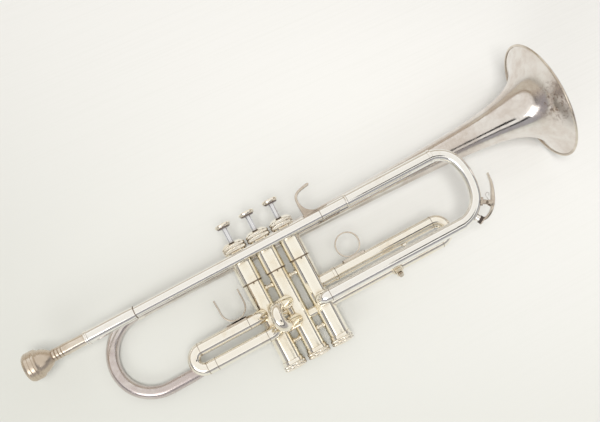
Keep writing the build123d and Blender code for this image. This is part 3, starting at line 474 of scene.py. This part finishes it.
BOTTOM_R = 11.1
BOTTOM_BANDS = ((-114.35, -112.85), (-111.95, -110.05))
bottom_inside = [(-108.4, 9.6), (-108.4, 8.55), (-113.4, 7.6), (-113.4, 1.6), (-115.6, 1.6), (-115.6, 2.6),
                 (-115.2, 3.0), (-115.2, 6.6), (-115.6, 7.2), (-115.5, 9.3), (-114.9, 10.7)]
bottom_neck = [(-109.7, 10.9), (-109.4, 10.4), (-106.2, 10.4), (-106.2, 9.6)]
bottom_profile = (rounded(bottom_inside, 0.2, closed=False) + with_steps(-114.4, -112.8, BOTTOM_R)
                  + [Vector((-112.5, 10.75)), Vector((-112.3, 10.75))]
                  + with_steps(-112.0, -110.0, BOTTOM_R) + rounded(bottom_neck, 0.2, closed=False))
turned("bottom_caps_knurled", on_valves(bottom_profile), SILVER_WARM, "body",
       ("bottom_caps",), segments=CAP_SEGMENTS, ripple=knurl(BOTTOM_BANDS, BOTTOM_R), sharp=50)

# A button's profile is measured up from its underside, at BUTTON_Y.
BUTTON_Y = 33.0
dish_profile = rounded([(2.6, 0), (2, 0), (2, 1.5), (0, 1.5), (0, 3.4), (0.9, 3.4), (0.9, 6.3), (-0.2, 6.5),
                        (-0.2, 7.1), (1.0, 7.75), (2.0, 8.0), (2.9, 7.8), (3.45, 7.0), (3.45, 6.3),
                        (2.6, 5.9)], 0.35, closed=False)
inlay_profile = rounded([(2.65, 0), (2.65, 5.85), (3.0, 5.85), (3.2, 5.5), (3.0, 2.5), (2.95, 0)], 0.2,
                        closed=False)
for i, x in enumerate(VALVES_X, 1):
    underside = Vector((x, BUTTON_Y, 0))
    turned(f"button_dish_{i}", [(dish_profile, underside, Y_AXIS)], SILVER_WARM, f"valve_{i}",
           (f"button_{i}",), segments=64)
    turned(f"button_inlay_{i}", [(inlay_profile, underside, Y_AXIS)], PEARL, f"valve_{i}",
           segments=64)

# ------------------------------------------------------------------ ferrules, seams and pins
FERRULE = silver("silver_ferrules", clean=rgb(0.96, 0.94, 0.90), veil=rgb(0.72, 0.60, 0.46),
                 patches=(0.42, 0.7), veil_amount=0.35, crevice_shade_and_tarnish=0.95)
SEAM = silver("silver_seams", clean=rgb(0.42, 0.35, 0.27), veil=rgb(0.25, 0.20, 0.16),
              patches=(0.35, 0.6), veil_amount=0.8, gloss=0.25)


def beaded(start, length, inner, outer, beads=2):
    """A ring with rounded beads and grooves between them."""
    profile = [(start, inner)]
    width = length / beads
    for bead in range(beads):
        at = start + bead * width
        profile += [(at + width * 0.06, outer - 0.35), (at + width * 0.28, outer), (at + width * 0.72, outer),
                    (at + width * 0.94, outer - 0.35)]
    profile.append((start + length, inner))
    return rounded(profile, 0.12, 2)


LEAD_LINE = Vector((0, 0, LEADPIPE_Z))
BELL_LINE = Vector((0, 0, BELL_Z))
RECEIVER_MOUTH_X, SLEEVE_MOUTH_X, BELL_JOINT_X = -181.7, 86.5, -138.1
turned("ferrule_rings", [(beaded(RECEIVER_MOUTH_X, 3.4, 6.5, 7.1), LEAD_LINE, X_AXIS),
                         (beaded(SLEEVE_MOUTH_X, 2.0, 5.4, 6.75, 1), LEAD_LINE, X_AXIS),
                         (beaded(BELL_JOINT_X, 7.0, 6.35, 7.1, 3), BELL_LINE, X_AXIS)],
       FERRULE, "body", ("ring_ferrules",), segments=64)


def seam(at, radius, width=0.55, rise=0.10):
    """The profile of a thin raised solder line around a tube."""
    return [Vector((at - width / 2, radius - 0.3)), Vector((at - width / 2, radius + rise * 0.4)),
            Vector((at - width / 4, radius + rise)), Vector((at + width / 4, radius + rise)),
            Vector((at + width / 2, radius + rise * 0.4)), Vector((at + width / 2, radius - 0.3))]


SLEEVE_R = 6.35
FIRST_Y, FIRST_Z = (-57.6, -76.2), 14.0
THIRD_Y = (-55.3, -75.3)
MAIN_LOWER_LINE = Vector((0, -69.5, 17.0))
THIRD_BOW_X = 151.5
LEADPIPE_R, CASING_R, UPPER_CASING_R = 5.35, 9.6, 10.3
first_lines = [Vector((0, y, FIRST_Z)) for y in FIRST_Y]
third_lines = [Vector((0, y, 0)) for y in THIRD_Y]
turned("first_slide_seams", [(seam(-95.4, SLEEVE_R), first_lines[0], X_AXIS),
                             (seam(-95.9, SLEEVE_R - 0.1), first_lines[1], X_AXIS),
                             (seam(-44.4, SLEEVE_R, 0.5), first_lines[0], X_AXIS)],
       SEAM, "first_slide", segments=56)
turned("third_slide_seams", [(seam(THIRD_BOW_X, SLEEVE_R), third_lines[0], X_AXIS),
                             (seam(THIRD_BOW_X, SLEEVE_R), third_lines[1], X_AXIS),
                             (seam(49.2, SLEEVE_R, 0.5), third_lines[0], X_AXIS)],
       SEAM, "third_slide", segments=56)
fixed_seams = on_valves(seam(-26.35, CASING_R, 0.7, 0.35)) + on_valves(seam(-25.6, UPPER_CASING_R, 0.4))
fixed_seams += [(seam(60.5, LEADPIPE_R, 0.5), LEAD_LINE, X_AXIS), (seam(-131.4, 6.0, 0.6), LEAD_LINE, X_AXIS),
                (seam(-86.8, SLEEVE_R, 0.5), first_lines[1], X_AXIS),
                (seam(-34.0, SLEEVE_R, 0.5), first_lines[1], X_AXIS),
                (seam(34.0, SLEEVE_R, 0.5), MAIN_LOWER_LINE, X_AXIS)]
turned("soldered_seams", fixed_seams, SEAM, "body", segments=64)

pin_profile = rounded([(9.3, 0), (9.3, 0.7), (10.15, 0.7), (10.35, 0.4), (10.35, 0)], 0.15, closed=False)
turned("casing_pins", [(pin_profile, Vector((x + 1.2, -27.4, 0)), Z_AXIS) for x in VALVES_X], SEAM,
       "body", segments=20)

# ------------------------------------------------------------------ water key
KEY_Z = 17.0
BEND_CENTRE = Vector((171.206, -41.9, KEY_Z))


def around_bend(angle, distance):
    """A point at an angle and a distance from the centre of the main slide's lower bend."""
    turn = math.radians(angle)
    return BEND_CENTRE + Vector((math.sin(turn), -math.cos(turn), 0)) * distance


BEND_OUT = 33.3
pivot = around_bend(57.6, BEND_OUT + 7.0)
seat = around_bend(31.0, BEND_OUT + 5.7)
seat_dir = (seat - BEND_CENTRE).normalized()
LEVER_OUTER = ((197.0, -76.2), (203.2, -73.2), (208.3, -68.2), (212.0, -62.6), (215.2, -55.2),
               (217.3, -47.9), (218.1, -38.6))
LEVER_INNER = ((216.95, -38.6), (215.5, -47.0), (212.8, -53.9), (209.5, -59.8), (205.3, -67.6),
               (202.2, -71.0), (197.6, -73.4))
arm_root = seat + seat_dir * 1.2
arm_outline = (smooth_line([arm_root.xy] + [Vector(p) for p in LEVER_OUTER], 4)
               + smooth_line([Vector(p) for p in LEVER_INNER] + [seat.xy + Vector((1.9, 1.0))], 4))
bm = bmesh.new()
plate(bm, arm_outline, KEY_Z - 2.5, KEY_Z + 2.5, 0.55)
seat_disc = rounded([(0, 0), (0, 4.2), (0.9, 4.2), (1.3, 3.6), (1.3, 0)], 0.25, closed=False)
lathe(bm, seat_disc, seat, seat_dir, 40)
ear_tip = around_bend(55.6, BEND_OUT + 10.6)
reach = ear_tip - pivot
across = Vector((-reach.y, reach.x, 0)).normalized()
for side in (-1, 1):
    ear_low = KEY_Z + 4.0 * side - 0.5
    ear = [pivot + (across * math.cos(a) - reach.normalized() * math.sin(a)) * 2.1
           for a in (math.pi * k / 12 for k in range(13))]
    ear += [ear_tip - across * 2.0, ear_tip + across * 2.0]
    plate(bm, [p.xy for p in ear], ear_low, ear_low + 1.0, 0.18)
cross_bar = rounded([(-4.5, 0), (-4.5, 1.3), (4.5, 1.3), (4.5, 0)], 0.3, closed=False)
lathe(bm, cross_bar, ear_tip, Z_AXIS, 24)
finish_piece("water_key_arm", mesh_of("water_key_arm", bm), SILVER_DULL, "water_key",
             ("water_key_lever",))

COIL_R, COIL_TURNS, COIL_STEPS = 1.45, 3.0, 60
CURL_Z = KEY_Z + 3.2
coil = []
for k in range(COIL_STEPS + 1):
    a = math.pi * 0.35 + 2 * math.pi * COIL_TURNS * k / COIL_STEPS
    coil.append(pivot + Vector((math.cos(a) * COIL_R, math.sin(a) * COIL_R, 1.95 + 1.15 * k / COIL_STEPS)))
curl_points = ((205.3, -60.5), (204.9, -57.8), (205.5, -55.4), (207.4, -54.6), (208.6, -56.0), (207.6, -57.8))
curl = smooth_line([coil[-1]] + [Vector((x, y, CURL_Z)) for x, y in curl_points], 6)
bm = bmesh.new()
wire(bm, coil + curl[1:], 0.25)
finish_piece("water_key_coil", mesh_of("water_key_coil", bm), SPRING, "water_key",
             ("water_key_spring",), sharp=60)

# ------------------------------------------------------------------ valve springs
# Each spring stands on its fixed valve guide.
SPRING_LOW, SPRING_HIGH = -25.45, 6.55
SPRING_R, SPRING_WIRE_R = 5.4, 0.4
SPRING_TURNS, TURN_STEPS = 9, 32
spring_steps = SPRING_TURNS * TURN_STEPS
for i, x in enumerate(VALVES_X, 1):
    helix = []
    for k in range(spring_steps + 1):
        a = 2 * math.pi * k / TURN_STEPS
        y = SPRING_LOW + (SPRING_HIGH - SPRING_LOW) * k / spring_steps
        helix.append(Vector((x + SPRING_R * math.sin(a), y, SPRING_R * math.cos(a))))
    bm = bmesh.new()
    wire(bm, helix, SPRING_WIRE_R)
    coil_mesh = mesh_of(f"valve_coil_{i}", bm)
    coil_spring = finish_piece(f"valve_coil_{i}", coil_mesh, SPRING, "body",
                               (f"valve_spring_{i}",), sharp=60)
    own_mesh(coil_spring)

# ------------------------------------------------------------------ finger hook
HOOK_OUTER = ((46.2, 4.0), (45.6, 12.0), (45.4, 19.0), (46.2, 24.4), (48.6, 27.8), (52.8, 29.8),
              (57.8, 31.0), (62.8, 31.8), (64.2, 30.7))
HOOK_INNER = ((63.2, 29.2), (57.8, 28.4), (52.4, 27.0), (48.9, 24.2), (47.8, 20.2), (48.8, 15.0),
              (51.4, 10.4), (56.0, 7.4), (60.0, 5.6))
HOOK_HALF_WIDTH = 3.25
bm = bmesh.new()
hook_outline = (smooth_line([(x, y, 0) for x, y in HOOK_OUTER], 4)
                + smooth_line([(x, y, 0) for x, y in HOOK_INNER], 4))
plate(bm, [(p.x, p.y) for p in hook_outline], LEADPIPE_Z - HOOK_HALF_WIDTH, LEADPIPE_Z + HOOK_HALF_WIDTH, 0.5)

# The foot is a thin skin on the leadpipe, narrower at both ends and flush along its sides.
FOOT_X, FOOT_SPAN = 57.5, 13.0
FOOT_STEPS, FOOT_SIDES = 24, 14
FOOT_CLEAR = 0.02
rows = []
for step in range(FOOT_STEPS + 1):
    along = -FOOT_SPAN + 2 * FOOT_SPAN * step / FOOT_STEPS
    taper = math.sqrt(max(0.0, 1 - (abs(along) / FOOT_SPAN) ** 4))
    half_turn = 0.10 + 0.52 * taper
    row = []
    for side in range(FOOT_SIDES + 1):
        around = -half_turn + 2 * half_turn * side / FOOT_SIDES
        lift = (1 - (2 * side / FOOT_SIDES - 1) ** 4) * (0.35 + 0.65 * taper)
        radius = LEADPIPE_R + FOOT_CLEAR + lift
        row.append(bm.verts.new((FOOT_X + along, radius * math.cos(around),
                                 LEADPIPE_Z + radius * math.sin(around))))
    rows.append(row)
for row, after in zip(rows, rows[1:]):
    for k in range(FOOT_SIDES):
        bm.faces.new((row[k], row[k + 1], after[k + 1], after[k]))
finish_piece("finger_hook", mesh_of("finger_hook", bm), SILVER_DULL, "body", ("pinky_hook",))


# ------------------------------------------------------------------ floor
def floor_material():
    """Off-white board with a faint brushed grain and a painted light falloff: darker towards the near left,
    paler towards its far right.
    """
    material, g = new_material("floor_board")
    coords = g.node("ShaderNodeTexCoord").outputs["Object"]
    turned_coords = g.node("ShaderNodeMapping", {"Vector": coords, "Rotation": (0, 0, math.radians(28)),
                                                 "Scale": (6, 420, 1)}).outputs[0]
    grain = g.noise(turned_coords, 1.0, 3, 0.6)
    away = g.node("ShaderNodeVectorMath", {0: coords, 1: (0.737, 0.676, 0.0)}, operation="DOT_PRODUCT")
    # Painted light: the board's colour runs from darker at the near left to paler at the far right, standing
    # in for the fall of the light.
    painted_light_falloff = g.ramp(away.outputs["Value"], -0.31, 0.31)
    colour = g.mix(painted_light_falloff, rgb(0.63, 0.64, 0.60), rgb(0.92, 0.92, 0.90))
    colour = g.mix(g.ramp(grain, 0.40, 0.75, 0.0, 0.10), colour, rgb(0.70, 0.71, 0.66))
    bump = g.node("ShaderNodeBump", {"Strength": 0.25, "Distance": 0.0002, "Height": grain}).outputs[0]
    shader = g.node("ShaderNodeBsdfPrincipled", {"Base Color": colour, "Roughness": 0.55, "Normal": bump})
    g.node("ShaderNodeOutputMaterial", {"Surface": shader.outputs[0]})
    return material


FLOOR_HALF = 9.0
FLOOR_GAP = 0.0002
floor_mesh = bpy.data.meshes.new("floor")
floor_mesh.from_pydata([(-FLOOR_HALF, -FLOOR_HALF, 0), (FLOOR_HALF, -FLOOR_HALF, 0),
                        (FLOOR_HALF, FLOOR_HALF, 0), (-FLOOR_HALF, FLOOR_HALF, 0)], [], [(0, 1, 2, 3)])
floor = bpy.data.objects.new("floor", floor_mesh)
bpy.context.scene.collection.objects.link(floor)
floor.location.z = cad_box[0].z - FLOOR_GAP
floor_mesh.materials.append(floor_material())

# ------------------------------------------------------------------ light
world = bpy.data.worlds.new("studio")
bpy.context.scene.world = world
world.use_nodes = True
g = Graph(world.node_tree)
direction = g.node("ShaderNodeTexCoord").outputs["Generated"]
split = g.node("ShaderNodeSeparateXYZ", {0: direction})
height = split.outputs["Z"]
front = g.ramp(g.maths("MULTIPLY", split.outputs["Y"], -1.0), -0.30, 0.10)


def between(low, high, soft):
    """1 between two heights, 0 outside them."""
    above = g.ramp(height, low - soft, low + soft)
    below = g.ramp(height, high + soft, high - soft)
    return g.maths("MULTIPLY", above, below)


# A bright ceiling, a dimmer wall up to LEDGE_LOW, and a dark ledge over it. The front is darker.
LEDGE_LOW, LEDGE_HIGH = 0.36, 0.47
sky = g.mix(g.ramp(height, 0.55, 0.97), rgb(1.0, 0.985, 0.955), rgb(0.93, 0.905, 0.86))
sky = g.mix(g.ramp(height, 0.0, -0.1), sky, rgb(0.60, 0.58, 0.54))
wall = g.mix(front, rgb(0.66, 0.60, 0.51), rgb(0.42, 0.41, 0.43))
colour = g.mix(between(-0.02, LEDGE_LOW, 0.03), sky, wall)
ledge = g.mix(front, rgb(0.42, 0.34, 0.25), rgb(0.01, 0.01, 0.015))
colour = g.mix(between(LEDGE_LOW, LEDGE_HIGH, 0.01), colour, ledge)
# Reflections see the whole of the room's light; matt surfaces are lit by this share of it.
LIGHT_FROM_WORLD = 0.60
bounced = g.node("ShaderNodeLightPath").outputs["Is Diffuse Ray"]
strength = g.maths("SUBTRACT", 1.0, g.maths("MULTIPLY", bounced, 1.0 - LIGHT_FROM_WORLD))
background = g.node("ShaderNodeBackground", {"Color": colour, "Strength": strength})
g.node("ShaderNodeOutputWorld", {"Surface": background.outputs[0]})


def softbox(name, location, aim, size, energy, tint):
    """A rectangular area light aimed at a point."""
    data = bpy.data.lights.new(name, "AREA")
    data.shape = "RECTANGLE"
    data.size, data.size_y = size
    data.energy = energy
    data.color = tint
    lamp = bpy.data.objects.new(name, data)
    bpy.context.scene.collection.objects.link(lamp)
    lamp.location = location
    lamp.rotation_euler = (Vector(aim) - Vector(location)).to_track_quat("-Z", "Y").to_euler()
    return lamp


def black_card(name, location, aim, size):
    """A black card that shows only as a dark line in the silver."""
    half_w, half_h = size[0] / 2, size[1] / 2
    mesh = bpy.data.meshes.new(name)
    mesh.from_pydata([(-half_w, -half_h, 0), (half_w, -half_h, 0), (half_w, half_h, 0), (-half_w, half_h, 0)],
                     [], [(0, 1, 2, 3)])
    material, g = new_material(name)
    shader = g.node("ShaderNodeBsdfPrincipled", {"Base Color": rgb(0.01, 0.01, 0.012), "Roughness": 0.9})
    g.node("ShaderNodeOutputMaterial", {"Surface": shader.outputs[0]})
    mesh.materials.append(material)
    card = bpy.data.objects.new(name, mesh)
    bpy.context.scene.collection.objects.link(card)
    card.location = location
    card.rotation_euler = (Vector(aim) - Vector(location)).to_track_quat("-Z", "Y").to_euler()
    card.visible_camera = False
    card.visible_diffuse = False
    card.visible_shadow = False


MIDDLE = Vector((0, 0, 0.03))
LAMP_TINT = (1.0, 0.99, 0.98)
KEY_FROM = Vector((-0.631, -0.560, 0.537))
KEY_DISTANCE = 1.7
softbox("key_softbox", MIDDLE + KEY_FROM * KEY_DISTANCE, MIDDLE, (0.95, 0.6), 5.0, LAMP_TINT)

BELL_THROAT = Vector((0.20, 0.021, 0.067))
CARD_FROM = Vector((0.0, -0.62, 0.75))
CARD_DISTANCE = 0.5
black_card("bell_card", BELL_THROAT + CARD_FROM * CARD_DISTANCE, BELL_THROAT, (0.24, 0.12))

# ------------------------------------------------------------------ camera
CAMERA_AZIMUTH = math.radians(28.54)
CAMERA_ELEVATION = math.radians(69.50)
CAMERA_ROLL = math.radians(-1.14)
CAMERA_AIM = Vector((0.00654, 0.03477, 0.06))
CAMERA_DISTANCE = 0.7535
look = Vector((math.sin(CAMERA_AZIMUTH) * math.cos(CAMERA_ELEVATION),
               math.cos(CAMERA_AZIMUTH) * math.cos(CAMERA_ELEVATION), -math.sin(CAMERA_ELEVATION)))
camera_data = bpy.data.cameras.new("camera")
camera_data.sensor_fit = "HORIZONTAL"
camera_data.sensor_width = 36.0
camera_data.lens = 47.9
camera_data.clip_start = 0.01
camera = bpy.data.objects.new("camera", camera_data)
bpy.context.scene.collection.objects.link(camera)
level = look.to_track_quat("-Z", "Y").to_matrix().to_4x4()
camera.matrix_world = (Matrix.Translation(CAMERA_AIM - look * CAMERA_DISTANCE) @ level
                       @ Matrix.Rotation(-CAMERA_ROLL, 4, "Z"))
bpy.context.scene.camera = camera

# The top softbox fills the shadows and doesn't show in the silver.
TOP_DISTANCE = 1.6
top_softbox = softbox("top_softbox", CAMERA_AIM - look * TOP_DISTANCE, MIDDLE, (0.5, 0.5), 16.5, LAMP_TINT)
top_softbox.visible_glossy = False
bpy.context.scene.view_settings.view_transform = "Standard"
